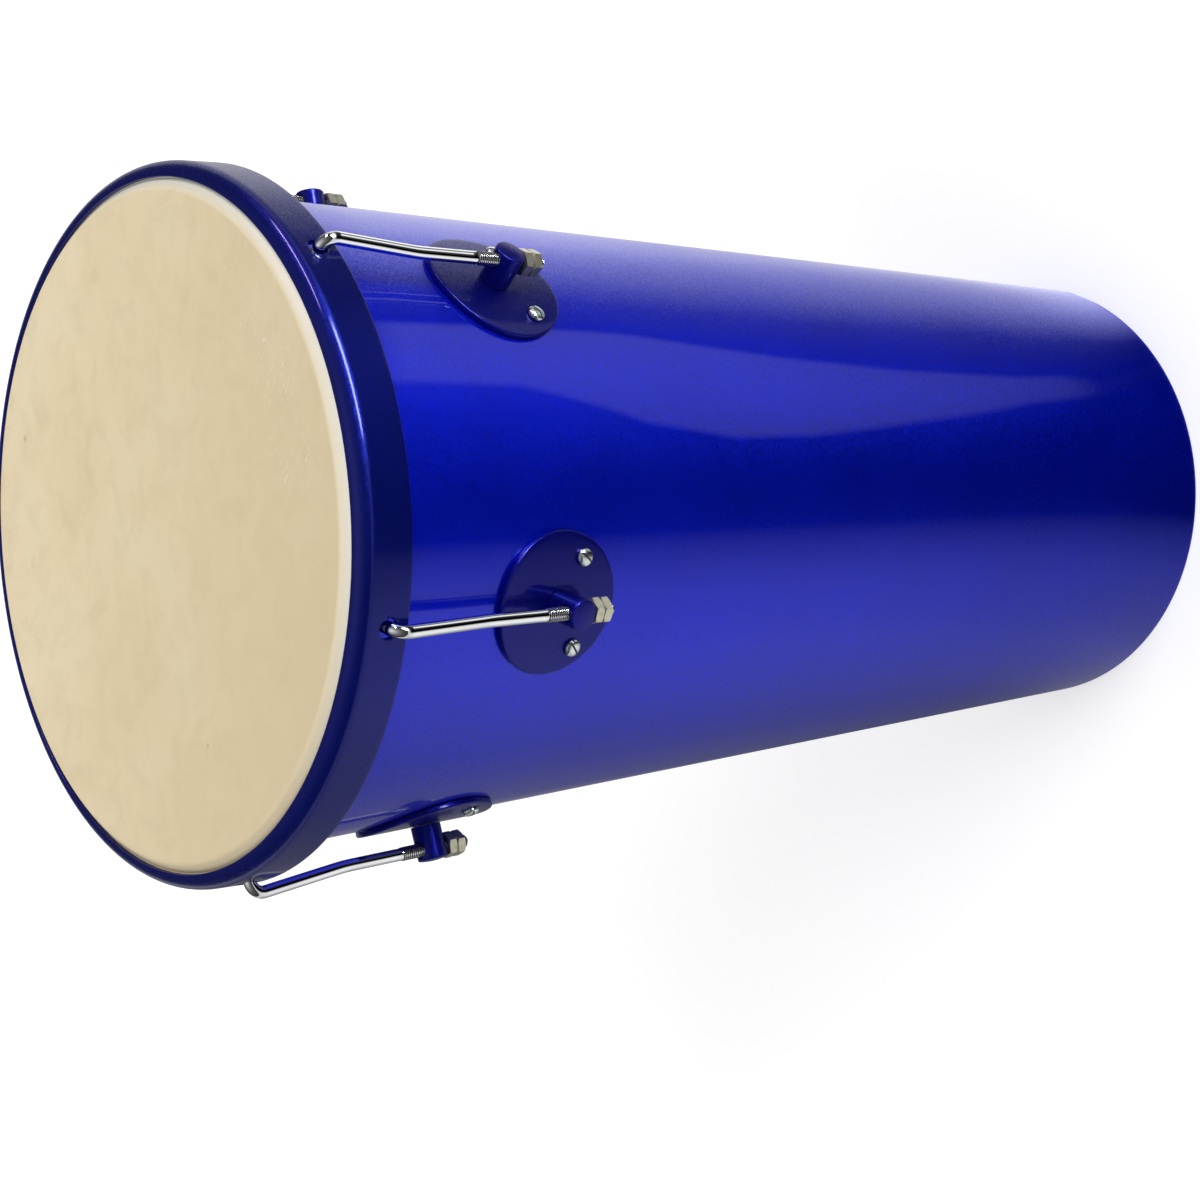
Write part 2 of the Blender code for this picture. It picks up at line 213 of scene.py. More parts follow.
def objectPlace(tree):
    return addNode(tree, "ShaderNodeTexCoord").outputs["Object"]


def axesOf(tree, vector):
    return addNode(tree, "ShaderNodeSeparateXYZ", {"Vector": vector}).outputs


def bumped(tree, height, strength, depth):
    node = addNode(tree, "ShaderNodeBump", {"Strength": strength, "Distance": depth, "Height": height})
    return node.outputs["Normal"]


def remapped(tree, vector, stretch, turn=(0, 0, 0), kind="POINT"):
    # Stretches and turns the coordinates that a texture reads
    values = {"Vector": vector, "Scale": stretch, "Rotation": turn}
    return addNode(tree, "ShaderNodeMapping", values, vector_type=kind).outputs["Vector"]


def noiseField(tree, vector, scale, detail=3.0, roughness=0.5, distortion=0.0):
    node = addNode(tree, "ShaderNodeTexNoise", {
        "Vector": vector, "Scale": scale, "Detail": detail, "Roughness": roughness, "Distortion": distortion})
    return node.outputs["Fac"]


def cellField(tree, vector, scale):
    return addNode(tree, "ShaderNodeTexVoronoi", {"Vector": vector, "Scale": scale}).outputs


def startGroup(name, inputs, outputs):
    # Inputs are numbers by name, and outputs are Float or Vector by name
    tree = bpy.data.node_groups.new(name, "ShaderNodeTree")
    for socket, value in inputs.items():
        made = tree.interface.new_socket(socket, in_out="INPUT", socket_type="NodeSocketFloat")
        made.default_value = value
    for socket, kind in outputs.items():
        tree.interface.new_socket(socket, in_out="OUTPUT", socket_type="NodeSocket" + kind)
    return tree, tree.nodes.new("NodeGroupInput").outputs, tree.nodes.new("NodeGroupOutput")


def placeGroup(tree, group, values):
    return addNode(tree, "ShaderNodeGroup", values, node_tree=group).outputs


# Effects that several materials share

def makeFlakeGroup():
    # Metal flakes under a lacquer: each small cell is a little lighter or darker and tilted its own way
    tree, given, result = startGroup(
        "lacquerFlake", {"Flake Size": 0.0005, "Tilt": 0.1, "Cloud Size": 0.05},
        {"Sparkle": "Float", "Cloud": "Float", "Normal": "Vector"})
    where = objectPlace(tree)
    cells = cellField(tree, where, mathNode(tree, "DIVIDE", 1.0, given["Flake Size"]))
    centred = vectorNode(tree, "SUBTRACT", cells["Color"], (0.5, 0.5, 0.5))
    tilted = vectorNode(tree, "SCALE", centred, scale=given["Tilt"])
    facing = addNode(tree, "ShaderNodeNewGeometry").outputs["Normal"]
    normal = vectorNode(tree, "NORMALIZE", vectorNode(tree, "ADD", facing, tilted))
    sparkle = axesOf(tree, cells["Color"])["X"]
    cloud = noiseField(tree, where, mathNode(tree, "DIVIDE", 1.0, given["Cloud Size"]), 2.0)
    feed(tree, result, {"Sparkle": sparkle, "Cloud": cloud, "Normal": normal})
    return tree


scratches = {"turn": (0.4, 0.9, 0.3), "stretch": (1.0, 14.0, 1.0), "sharpness": 60.0}


def makeWearGroup():
    # Handling marks: broad smudges and fine crossing scratches
    tree, given, result = startGroup(
        "handlingWear", {"Smudge Size": 0.03, "Scratch Size": 0.01, "Seed": 0.0},
        {"Smudge": "Float", "Scratch": "Float"})
    shifted = vectorNode(tree, "ADD", objectPlace(tree), given["Seed"])
    smudge = noiseField(tree, shifted, mathNode(tree, "DIVIDE", 1.0, given["Smudge Size"]), 4.0, 0.6)
    drawn = remapped(tree, shifted, scratches["stretch"], scratches["turn"])
    lines = noiseField(tree, drawn, mathNode(tree, "DIVIDE", 1.0, given["Scratch Size"]), 2.0)
    distance = mathNode(tree, "ABSOLUTE", mathNode(tree, "SUBTRACT", lines, 0.5))
    thinned = times(tree, distance, scratches["sharpness"])
    scratch = mathNode(tree, "SUBTRACT", 1.0, thinned, clamp=True)
    feed(tree, result, {"Smudge": smudge, "Scratch": scratch})
    return tree


flakeGroup = makeFlakeGroup()
wearGroup = makeWearGroup()


def startMaterial(name, settings):
    # A Principled shader with its constants set on its own sockets
    material = bpy.data.materials.new(name)
    material.use_nodes = True
    tree = material.node_tree
    shader = tree.nodes["Principled BSDF"]
    feed(tree, shader, settings)
    return material, tree, shader


# Lacquer on the shell, and enamel on the hoop and lugs

lacquers = {
    "blueLacquer": {
        "deep": (0.0001, 0.003, 0.42, 1), "lit": (0.0004, 0.016, 0.76, 1), "roughness": (0.36, 0.46),
        "metallic": 0.85, "coat": 0.6, "flakeSize": 0.00045, "tilt": 0.22, "cloudSize": 0.06},
    "navyEnamel": {
        "deep": (0.0006, 0.002, 0.090, 1), "lit": (0.0015, 0.007, 0.200, 1), "roughness": (0.30, 0.40),
        "metallic": 0.55, "coat": 0.38, "flakeSize": 0.0004, "tilt": 0.16, "cloudSize": 0.03},
    "lugEnamel": {
        "deep": (0.0010, 0.0015, 0.100, 1), "lit": (0.0025, 0.005, 0.235, 1), "roughness": (0.30, 0.40),
        "metallic": 0.55, "coat": 0.26, "flakeSize": 0.0004, "tilt": 0.16, "cloudSize": 0.03},
}


def makeLacquer(name, look):
    material, tree, shader = startMaterial(name, {
        "Metallic": look["metallic"], "Specular IOR Level": 0.1, "Coat Weight": look["coat"],
        "Coat Roughness": 0.02})
    flakes = placeGroup(tree, flakeGroup, {
        "Flake Size": look["flakeSize"], "Tilt": look["tilt"], "Cloud Size": look["cloudSize"]})
    marks = placeGroup(tree, wearGroup, {"Smudge Size": 0.04, "Scratch Size": 0.02, "Seed": 3.0})
    share = timesPlus(tree, flakes["Sparkle"], 0.5, spread(tree, flakes["Cloud"], 0.1, 0.5))
    colour = mixColours(tree, share, look["deep"], look["lit"])
    roughness = spread(tree, marks["Smudge"], *look["roughness"])
    feed(tree, shader, {"Base Color": colour, "Roughness": roughness, "Normal": flakes["Normal"]})
    return material


blueLacquer, navyEnamel, lugEnamel = [makeLacquer(name, look) for name, look in lacquers.items()]


# Raw wood inside the shell and on its cut edges

rawWood = {
    "pale": (0.50, 0.33, 0.18, 1),
    "dark": (0.31, 0.18, 0.085, 1),
    "ringSize": 0.004,
    "grainStretch": (1.0, 1.0, 0.05),
    "poreScale": 2200.0,
    "broadScale": 14.0,
}


def makeRawWood():
    material, tree, shader = startMaterial("rawWood", {"IOR": 1.45})
    where = objectPlace(tree)
    grain = remapped(tree, where, rawWood["grainStretch"])
    streaks = noiseField(tree, grain, 1 / rawWood["ringSize"], 5.0, 0.6, 0.3)
    pores = noiseField(tree, grain, rawWood["poreScale"], 2.0)
    broad = noiseField(tree, where, rawWood["broadScale"], 2.0)
    mixed = timesPlus(tree, broad, 0.35, times(tree, streaks, 0.8))
    darkness = greyRamp(tree, mixed, (0.35, 0.0), (0.8, 1.0))
    feed(tree, shader, {
        "Base Color": mixColours(tree, darkness, rawWood["pale"], rawWood["dark"]),
        "Roughness": spread(tree, streaks, 0.5, 0.75),
        "Normal": bumped(tree, mathNode(tree, "ADD", streaks, pores), 0.35, 0.0002)})
    return material


# Hide head

hide = {
    "base": (0.825, 0.680, 0.430, 1),
    "warm": (0.655, 0.532, 0.325, 1),
    "pale": (0.860, 0.735, 0.500, 1),
    "crease": (0.90, 0.82, 0.66, 1),
    "crownHighlight": (0.98, 0.97, 0.86, 1),
    "stainAndShade": (0.40, 0.270, 0.140, 1),
    # The scales of its noises, from broad to fine
    "cloudScale": 15.0,
    "patchScale": 60.0,
    "bendScale": 70.0,
    "speckScale": 90.0,
    "breakScale": 150.0,
    "fibreScale": 600.0,
    "poreSize": 0.0006,
    "creaseSize": 0.0010,
    "creaseTurn": (0, 0, -0.45),
    "creaseStretch": (4.5, 1.0, 1.0),
    "creaseBend": (0.010, -0.006, 0.0),
    # The hide is pale where it rises over the shell's edge, a painted highlight, and brown at the hoop's lip,
    # painted shade
    "crownHighlightFrom": 0.1380,
    "crownHighlightWidth": 0.0045,
    "lipShadeFrom": 0.1455,
    "lipShadeWidth": 0.0012,
    # Where the hide is finely creased: middle, reach and how strongly, in metres on the head
    "creases": (
        ((0.098, -0.068), 0.024, 1.0),
        ((0.082, -0.084), 0.022, 0.9),
        ((0.056, -0.100), 0.024, 0.8),
        ((0.122, -0.040), 0.016, 0.7),
        ((0.062, 0.108), 0.020, 0.5),
    ),
    "spots": (((0.010, 0.118), 0.0022), ((-0.075, -0.060), 0.0014)),
}


def flatLength(tree, vector):
    # The length of a vector as seen from above
    return vectorNode(tree, "LENGTH", vectorNode(tree, "MULTIPLY", vector, (1.0, 1.0, 0.0)))


def nearPoint(tree, where, point, reach):
    # 1 at a point on the head, falling to 0 at its reach
    away = flatLength(tree, vectorNode(tree, "SUBTRACT", where, (*point, 0.0)))
    return mathNode(tree, "SUBTRACT", 1.0, mathNode(tree, "DIVIDE", away, reach), clamp=True)


def outside(tree, radius, start, width):
    # 0 up to a radius, rising to 1 over a width
    return mathNode(tree, "DIVIDE", mathNode(tree, "SUBTRACT", radius, start), width, clamp=True)


def makeHide():
    material, tree, shader = startMaterial("naturalHide", {"IOR": 1.48, "Specular IOR Level": 0.6})
    where = objectPlace(tree)
    clouds = noiseField(tree, where, hide["cloudScale"], 3.0, 0.5, 0.3)
    patches = noiseField(tree, where, hide["patchScale"], 5.0, 0.6, 0.6)
    colour = mixColours(tree, greyRamp(tree, clouds, (0.36, 0.0), (0.66, 1.0)), hide["base"], hide["pale"])
    colour = mixColours(tree, greyRamp(tree, patches, (0.45, 0.0), (0.80, 0.55)), colour, hide["warm"])
    # Painted shade: the hide is a little deeper in colour on the side towards minus Y
    axes = axesOf(tree, where)
    frontShade = timesPlus(tree, axes["Y"], -3.3, 0.5)
    colour = mixColours(tree, greyRamp(tree, frontShade, (0.2, 0.0), (1.0, 0.75)), colour, hide["warm"])
    # Fine pale strokes in a few places, like the marks of the hide's folds
    area = 0.0
    for point, reach, force in hide["creases"]:
        near = times(tree, nearPoint(tree, where, point, reach), force)
        area = mathNode(tree, "MAXIMUM", area, near)
    breaks = noiseField(tree, where, hide["breakScale"], 3.0, 0.6, 0.5)
    area = times(tree, greyRamp(tree, area, (0.05, 0.0), (0.55, 1.0)),
                 greyRamp(tree, breaks, (0.40, 0.0), (0.62, 1.0)))
    bends = noiseField(tree, where, hide["bendScale"], 2.0)
    bent = vectorNode(tree, "ADD", where, vectorNode(tree, "SCALE", hide["creaseBend"], scale=bends))
    along = remapped(tree, bent, hide["creaseStretch"], hide["creaseTurn"], "TEXTURE")
    strokes = noiseField(tree, along, 1 / hide["creaseSize"], 3.0, 0.55)
    creases = times(tree, greyRamp(tree, strokes, (0.52, 0.0), (0.70, 1.0)), area)
    colour = mixColours(tree, times(tree, creases, 0.8), colour, hide["crease"])
    # Rim: a painted highlight, paler over the edge and most of all on the lit side, and painted shade, brown,
    # under the lip
    radius = flatLength(tree, where)
    side = timesPlus(tree, axes["Y"], -1.6, 0.5)
    side = timesPlus(tree, axes["X"], 3.0, side)
    # Painted highlight over the bearing edge, stronger on the side that faces the key light
    crownHighlight = times(tree, outside(tree, radius, hide["crownHighlightFrom"], hide["crownHighlightWidth"]),
                  greyRamp(tree, side, (0.45, 0.10), (0.80, 0.95)))
    colour = mixColours(tree, crownHighlight, colour, hide["crownHighlight"])
    # Painted shade: brown in the gap between the hide and the hoop's lip
    lip = outside(tree, radius, hide["lipShadeFrom"], hide["lipShadeWidth"])
    colour = mixColours(tree, lip, colour, hide["stainAndShade"])
    # Pores, dark where a noise lets them show
    pores = cellField(tree, where, 1 / hide["poreSize"])["Distance"]
    shown = noiseField(tree, where, hide["speckScale"], 2.0)
    specks = times(tree, greyRamp(tree, pores, (0.0, 1.0), (0.30, 0.0)),
                   greyRamp(tree, shown, (0.42, 0.0), (0.62, 1.0)))
    colour = mixColours(tree, times(tree, specks, 0.22), colour, hide["stainAndShade"])
    for point, reach in hide["spots"]:
        spot = greyRamp(tree, nearPoint(tree, where, point, reach), (0.0, 0.0), (0.8, 0.45))
        colour = mixColours(tree, spot, colour, hide["stainAndShade"])
    fibres = noiseField(tree, where, hide["fibreScale"], 5.0, 0.7)
    height = timesPlus(tree, creases, 1.2, times(tree, fibres, 0.7))
    height = timesPlus(tree, specks, -0.5, height)
    feed(tree, shader, {"Base Color": colour, "Roughness": spread(tree, patches, 0.36, 0.52),
                        "Normal": bumped(tree, height, 0.5, 0.00025)})
    return material


# Bare metals: chrome on the hooks, nickel on the nuts, zinc on the screws, plain wire

metals = {
    "hookChrome": {
        "clean": (0.86, 0.87, 0.89, 1), "dull": (0.66, 0.66, 0.67, 1), "roughness": (0.015, 0.04),
        "scratch": 0.03, "grime": 0.2, "smudgeSize": 0.012, "lineSize": None},
    # Painted shade: the dark colour of the thread's grooves and of the screw slots' floors
    "paintedGrooveShade": {
        "clean": (0.09, 0.09, 0.09, 1), "dull": (0.04, 0.04, 0.04, 1), "roughness": (0.30, 0.50),
        "scratch": 0.05, "grime": 0.8, "smudgeSize": 0.002, "lineSize": None},
    "nutNickel": {
        "clean": (0.60, 0.58, 0.46, 1), "dull": (0.40, 0.36, 0.26, 1), "roughness": (0.28, 0.42),
        "scratch": 0.10, "grime": 0.6, "smudgeSize": 0.0035, "lineSize": 0.0012},
    "screwZinc": {
        "clean": (0.74, 0.80, 0.80, 1), "dull": (0.47, 0.55, 0.56, 1), "roughness": (0.14, 0.34),
        "scratch": 0.08, "grime": 0.6, "smudgeSize": 0.0025, "lineSize": 0.0003},
    "hoopWire": {
        "clean": (0.52, 0.50, 0.47, 1), "dull": (0.25, 0.22, 0.19, 1), "roughness": (0.35, 0.55),
        "scratch": 0.10, "grime": 0.6, "smudgeSize": 0.006, "lineSize": None},
}


def makeMetal(name, look):
    material, tree, shader = startMaterial(name, {"Metallic": 1.0})
    marks = placeGroup(tree, wearGroup, {
        "Smudge Size": look["smudgeSize"], "Scratch Size": look["smudgeSize"] / 2, "Seed": 7.0})
    dirt = greyRamp(tree, marks["Smudge"], (0.46, 0.0), (0.74, look["grime"]))
    colour = mixColours(tree, dirt, look["clean"], look["dull"])
    worn = spread(tree, marks["Smudge"], *look["roughness"])
    roughness = timesPlus(tree, marks["Scratch"], look["scratch"], worn)
    feed(tree, shader, {"Base Color": colour, "Roughness": roughness})
    if look["lineSize"]:
        fine = noiseField(tree, objectPlace(tree), 1 / look["lineSize"], 2.0)
        feed(tree, shader, {"Normal": bumped(tree, fine, 0.25, 0.00005)})
    return material


woodInside = makeRawWood()
naturalHide = makeHide()
hookChrome, paintedGrooveShade, nutNickel, screwZinc, hoopWire = [
    makeMetal(name, look) for name, look in metals.items()]
print("materials made")


# Shell: a straight cone of wood, lacquered outside, with a rounded bearing edge under the head

shell = {
    "headRadius": 0.1397,
    "footRadius": 0.1110,
    "wall": 0.007,
    "edgeRound": 0.002,
    "edgeCrest": 0.001,
    "edgeChamfer": 0.004,
    # Bare wood shows above this drop from the top
    "bareDrop": 0.0005,
    "footRound": 0.001,
    "footRise": 0.004,
    "wallRings": 16,
}
skin = {
    "thickness": 0.0012,
    "tuck": 0.002,
    "fleshRadius": 0.0023,
    "fleshStandoff": 0.0021,
    "fleshDrop": 0.0084,
    "flatRings": 70,
    # The hide's height in two noises: how deep, their scales across it and their layers
    "swell": 0.00012,
    "swellScale": (22, 22, 1.7),
    "ripple": 0.00010,
    "rippleScale": (130, 45, 4.1),
    "fadeWidth": 0.010,
}

shellTop = drum["height"] - skin["thickness"] - drum["seatGap"]
shellSlope = (shell["headRadius"] - shell["footRadius"]) / shellTop
shellLean = math.atan(shellSlope)
leanCos = math.cos(shellLean)
leanSin = math.sin(shellLean)
edgeCentre = (shell["headRadius"] - shell["edgeRound"], shellTop - shell["edgeRound"])


def shellRadius(height):
    return shell["headRadius"] - shellSlope * (shellTop - height)


def addShell():
    inner = shell["wall"] / leanCos
    foot = shell["footRadius"]
    chamferHeight = shellTop - shell["edgeChamfer"]
    profile = line((foot - inner + shell["footRound"], 0), (foot - shell["footRound"], 0), 2)
    profile += arc((foot - shell["footRound"], shell["footRound"]), shell["footRound"], -67, 0, 4)
    profile += line((shellRadius(shell["footRise"]), shell["footRise"]), (shell["headRadius"], edgeCentre[1]),
                    shell["wallRings"])
    profile += arc(edgeCentre, shell["edgeRound"], 10, 90, 8)
    profile += [(edgeCentre[0] - shell["edgeCrest"], shellTop)]
    profile += line((shellRadius(chamferHeight) - inner, chamferHeight),
                    (foot - inner + shellSlope * shell["footRound"], shell["footRound"]), shell["wallRings"])
    mesh = turnedMesh("shellTube", profile, drum["turnSteps"], loop=True)
    piece = addPiece("shellTube", mesh, [blueLacquer, woodInside], "drum", ["shell"])
    for face in piece.data.polygons:
        radius = math.hypot(face.center.x, face.center.y)
        inside = radius < shellRadius(face.center.z) - shell["wall"] / 2
        onFoot = face.center.z < 2 * drum["tolerance"]
        onEdge = face.center.z > shellTop - shell["bareDrop"]
        face.material_index = int(inside or onFoot or onEdge)


# Head: hide, flat in the middle, over the bearing edge and round the flesh hoop

fleshCentre = (shell["headRadius"] + skin["fleshStandoff"] + skin["fleshRadius"],
               drum["height"] - skin["fleshDrop"])
skinInnerRound = skin["fleshRadius"] + drum["seatGap"]
skinOuterRound = skinInnerRound + skin["thickness"]


def skinSide(edgeRound, tuckRound, steps):
    # Over the bearing edge, down a straight run and round the flesh hoop
    tuck = arc(fleshCentre, tuckRound, 100, 0, steps)
    across = tuck[0][0] - edgeCentre[0]
    rise = tuck[0][1] - edgeCentre[1]
    leave = math.degrees(math.atan2(rise, across) + math.acos(edgeRound / math.hypot(across, rise)))
    return arc(edgeCentre, edgeRound, 90, leave, steps) + tuck


def hideDip(x, y):
    # The hide isn't perfectly flat: a faint swell, and ripples that die out towards the middle
    radius = math.hypot(x, y)
    if radius > edgeCentre[0]:
        return 0.0
    fade = min(1.0, (edgeCentre[0] - radius) / skin["fadeWidth"])
    place = Vector((x, y, 1))
    swell = (0.5 + 0.5 * noise.noise(place * Vector(skin["swellScale"]))) * skin["swell"]
    outer = (radius / edgeCentre[0]) ** 3
    ripple = abs(noise.noise(place * Vector(skin["rippleScale"]))) * skin["ripple"] * outer
    return (swell + ripple) * fade


def addHead():
    innerEdge = shell["edgeRound"] + drum["seatGap"]
    outerEdge = innerEdge + skin["thickness"]
    foot = fleshCentre[1] - skin["tuck"]
    middle = edgeCentre[0] / skin["flatRings"]
    top = line((middle, drum["height"]), (edgeCentre[0] - middle, drum["height"]), skin["flatRings"] - 2)
    outer = skinSide(outerEdge, skinOuterRound, 10)
    inner = skinSide(innerEdge, skinInnerRound, 10)
    below = drum["height"] - skin["thickness"]
    hem = arc((fleshCentre[0] + (skinInnerRound + skinOuterRound) / 2, foot + skin["thickness"] / 2),
              skin["thickness"] / 2, 0, -180, 6)
    profile = top + outer + hem + list(reversed(inner)) + [(edgeCentre[0] / 2, below), (middle, below)]
    shape = joinRings(turned(profile, drum["turnSteps"]))
    for vertex in shape.verts:
        if vertex.co.z > drum["height"] - drum["tolerance"]:
            vertex.co.z -= hideDip(vertex.co.x, vertex.co.y)
    addPiece("hideHead", shapeToMesh("hideHead", shape), [naturalHide], "drum", ["skin"])


def addFleshHoop():
    profile = arc(fleshCentre, skin["fleshRadius"], 0, 345, 23)
    mesh = turnedMesh("fleshRing", profile, drum["turnSteps"], loop=True)
    addPiece("fleshRing", mesh, [hoopWire], "drum", ["flesh_hoop"])


# Counter hoop: pressed steel with a round shoulder, six pierced holes for the hooks

hoop = {
    "wall": 0.0025,
    "depth": 0.0232,
    "lip": 0.0004,
    "lipRound": 0.0006,
    "lipLead": 0.0003,
    "footRound": 0.0005,
    # The straight walls start and end this far from their rounds
    "wallStart": 0.001,
    "holeRadius": 0.0041,
    "holeDrop": 0.01625,
    "holeFlare": 0.0005,
    "holeSteps": 48,
}
hoopInnerRound = skinOuterRound + drum["seatGap"]
hoopOuterRound = hoopInnerRound + hoop["wall"]
hoopOuterRadius = fleshCentre[0] + hoopOuterRound
hoopInnerRadius = fleshCentre[0] + hoopInnerRound
hoopTop = fleshCentre[1] + hoopOuterRound
holeHeight = drum["height"] - hoop["holeDrop"]


def lugAngles():
    return [math.radians(drum["firstLugAngle"] + 360 / drum["lugs"] * index) for index in range(drum["lugs"])]


def addCounterHoop():
    foot = hoopTop - hoop["depth"]
    small = hoop["footRound"]
    shoulder = fleshCentre[1] - hoop["wallStart"]
    lipInner = fleshCentre[0] - hoop["lip"]
    cornerCentre = (lipInner + hoop["lipRound"], hoopTop - hoop["lipRound"])
    profile = [(lipInner, fleshCentre[1] + hoopInnerRound + hoop["lipLead"])]
    profile += arc(cornerCentre, hoop["lipRound"], 180, 90, 5)
    profile += arc(fleshCentre, hoopOuterRound, 86, 0, 18)
    profile += line((hoopOuterRadius, shoulder), (hoopOuterRadius, foot + small), 8)
    profile += arc((hoopOuterRadius - small, foot + small), small, -15, -90, 4)
    profile += arc((hoopInnerRadius + small, foot + small), small, -90, -180, 4)
    profile += line((hoopInnerRadius, foot + hoop["wallStart"]), (hoopInnerRadius, shoulder), 6)
    profile += arc(fleshCentre, hoopInnerRound, 0, 88, 10)
    body = turnedMesh("counterHoop", profile, drum["turnSteps"], loop=True)
    # The cutter flares at the outer face, so that each hole has a pressed-in edge
    radius = hoop["holeRadius"]
    flare = hoop["holeFlare"]
    outer = hoopOuterRadius - hoopInnerRadius
    reach = [(radius, -hoop["wall"])] + arc((radius + flare, outer - flare), flare, 180, 90, 3)
    reach += [(radius + flare * 2, outer + flare)]
    drill = turnedMesh("holeCutter", reach, hoop["holeSteps"])
    holes = []
    for angle in lugAngles():
        spot = Matrix.Rotation(angle, 4, "Z") @ Matrix.Translation((hoopInnerRadius, 0, holeHeight))
        holes.append((drill, spot @ rotation(90, "Y")))
    addPiece("counterHoop", cutMesh(body, holes), [navyEnamel], "hoop", ["counter_hoop"])


addShell()
addHead()
addFleshHoop()
addCounterHoop()
print("shell, head and hoops made")


# Lug places: X round the drum, Y up the slope, Z straight out of the shell

lug = {
    "drop": 0.1080,
    "plateRadius": 0.030,
    "plateThickness": 0.0025,
    "plateRound": 0.0009,
    "plateLead": 0.0003,
    "plateRings": 14,
    "plateSteps": 96,
    "postRadius": 0.0065,
    "postHeight": 0.0188,
    "postRound": 0.0009,
    "postDome": 0.0006,
    "postSteps": 64,
    "rodHeight": 0.0132,
    "boreRadius": 0.0034,
    "boreLead": 0.0004,
    "boreSteps": 40,
}
lugHeight = drum["height"] - lug["drop"]


def surfaceFrame(angle, height):
    away = Vector((math.cos(angle), math.sin(angle), 0))
    around = Vector((-math.sin(angle), math.cos(angle), 0))
    up = away * leanSin + Vector((0, 0, leanCos))
    place = Matrix((around, up, around.cross(up))).transposed().to_4x4()
    place.translation = away * shellRadius(height) + Vector((0, 0, height))
    return place


def rodFrame(angle, station):
    # Z runs down the rod, from where it crosses the post
    across = Matrix.Translation((0, -station, lug["rodHeight"])) @ rotation(90, "X")
    return surfaceFrame(angle, lugHeight) @ across


def bendToShell(x, y, z):
    height = lugHeight + y * leanCos
    radius = shellRadius(height) + z * leanCos
    return Vector(polar(radius, x / shellRadius(height), height - z * leanSin))


def plateShape():
    low = drum["seatGap"]
    high = low + lug["plateThickness"]
    edge = lug["plateRound"]
    reach = lug["plateRadius"] - edge
    flat = [reach * ring / lug["plateRings"] for ring in range(1, lug["plateRings"])]
    profile = [(r, high) for r in flat] + arc((reach, high - edge), edge, 90, 0, 6)
    profile += [(lug["plateRadius"], low + lug["plateLead"]), (lug["plateRadius"] - lug["plateLead"], low)]
    profile += [(r, low) for r in reversed(flat)]
    shape = joinRings(turned(profile, lug["plateSteps"]))
    for vertex in shape.verts:
        vertex.co = bendToShell(*vertex.co)
    return shape


def postMesh():
    seat = 2 * drum["seatGap"] + lug["plateThickness"]
    edge = lug["postRound"]
    radius = lug["postRadius"]
    reach = radius - edge
    rim = lug["postHeight"] - lug["postDome"]
    domeRadius = (reach ** 2 + lug["postDome"] ** 2) / (2 * lug["postDome"])
    domeLean = math.degrees(math.asin(reach / domeRadius))
    dome = arc((0, lug["postHeight"] - domeRadius), domeRadius, 90, 90 - domeLean, 8)
    profile = dome[1:-1] + arc((reach, rim - edge), edge, 90, 0, 6)
    profile += line((radius, rim - edge * 1.5), (radius, seat), 6)
    body = turnedMesh("lugPost", profile, lug["postSteps"])
    bore = lug["boreRadius"]
    lead = lug["boreLead"]
    cutter = [(bore + lead, -radius - lead), (bore + lead, -radius), (bore, -radius + 3 * lead),
              (bore, radius - 3 * lead), (bore + lead, radius), (bore + lead, radius + lead)]
    drill = turnedMesh("boreCutter", cutter, lug["boreSteps"])
    return cutMesh(body, [(drill, Matrix.Translation((0, 0, lug["rodHeight"])) @ rotation(90, "X"))])


# Tension hooks: chromed rod, bent through the hoop's wall, with a rolled thread

hook = {
    "radius": 0.0027,
    "tipDepth": 0.0042,
    "bendRadius": 0.0055,
    "reach": 0.0045,
    "kneeAbovePost": 0.0455,
    "kneeLength": 0.008,
    "seatGap": 0.0005,
    "threadAbovePost": 0.010,
    "threadRadius": 0.003,
    "threadDepth": 0.00055,
    "pitch": 0.001,
    # Shares of a pitch where the crest ends and the root starts and ends
    "crestEnd": 0.24,
    "rootStart": 0.46,
    "rootEnd": 0.78,
    # Painted shade fills the thread's grooves from this share of its depth
    "grooveShadeDepth": 0.3,
    "stub": 0.0032,
    "endTaper": 0.75,
    # Rings that round the tip: share of the radius and place from the end
    "tipRings": ((0.80, 0.0), (0.95, 0.00025), (1.0, 0.0007)),
    "sides": 32,
    "ringsPerPitch": 10,
}
nut = {
    "flats": 0.010,
    "height": 0.0042,
    "boreRadius": 0.00318,
    "chamferShare": 0.955,
    "chamferAngle": 30.0,
    "leadShare": 0.12,
    "firstTurn": 6.0,
    "lockTurn": 8.0,
    "turnStep": 32.0,
    "steps": 72,
}
nutStation = lug["postRadius"] + drum["seatGap"] + nut["height"] / 2
lockStation = nutStation + nut["height"] + drum["seatGap"]
rodEnd = lockStation + nut["height"] / 2 + hook["stub"]
hookAxis = holeHeight - (hoop["holeRadius"] - hook["radius"] - hook["seatGap"])


def rodPoint(rise):
    radius = shellRadius(lugHeight) + lug["rodHeight"] * leanCos + rise * leanSin
    return (radius, lugHeight - lug["rodHeight"] * leanSin + rise * leanCos)


def shankPath():
    # The centre line in the lug's upright plane, from the tip to where the thread starts
    centre = (hoopOuterRadius + hook["reach"] - hook["bendRadius"], hookAxis - hook["bendRadius"])
    knee = rodPoint(hook["kneeAbovePost"])
    away = math.dist(centre, knee)
    slant = math.atan2(centre[1] - knee[1], centre[0] - knee[0]) - math.asin(hook["bendRadius"] / away)
    bend = arc(centre, hook["bendRadius"], 90, math.degrees(slant) - 90, 24)
    upper = between(knee, bend[-1], hook["kneeLength"] / 2 / away)
    lower = rodPoint(hook["kneeAbovePost"] - hook["kneeLength"] / 2)
    turn = [between(between(upper, knee, t / 10), between(knee, lower, t / 10), t / 10) for t in range(11)]
    tip = (hoopInnerRadius - hook["tipDepth"], hookAxis)
    start = rodPoint(lug["postRadius"] + hook["threadAbovePost"])
    return (line(tip, bend[0], 5)[:-1] + bend + line(bend[-1], upper, 8)[1:-1] + turn
            + line(turn[-1], start, 8)[1:])


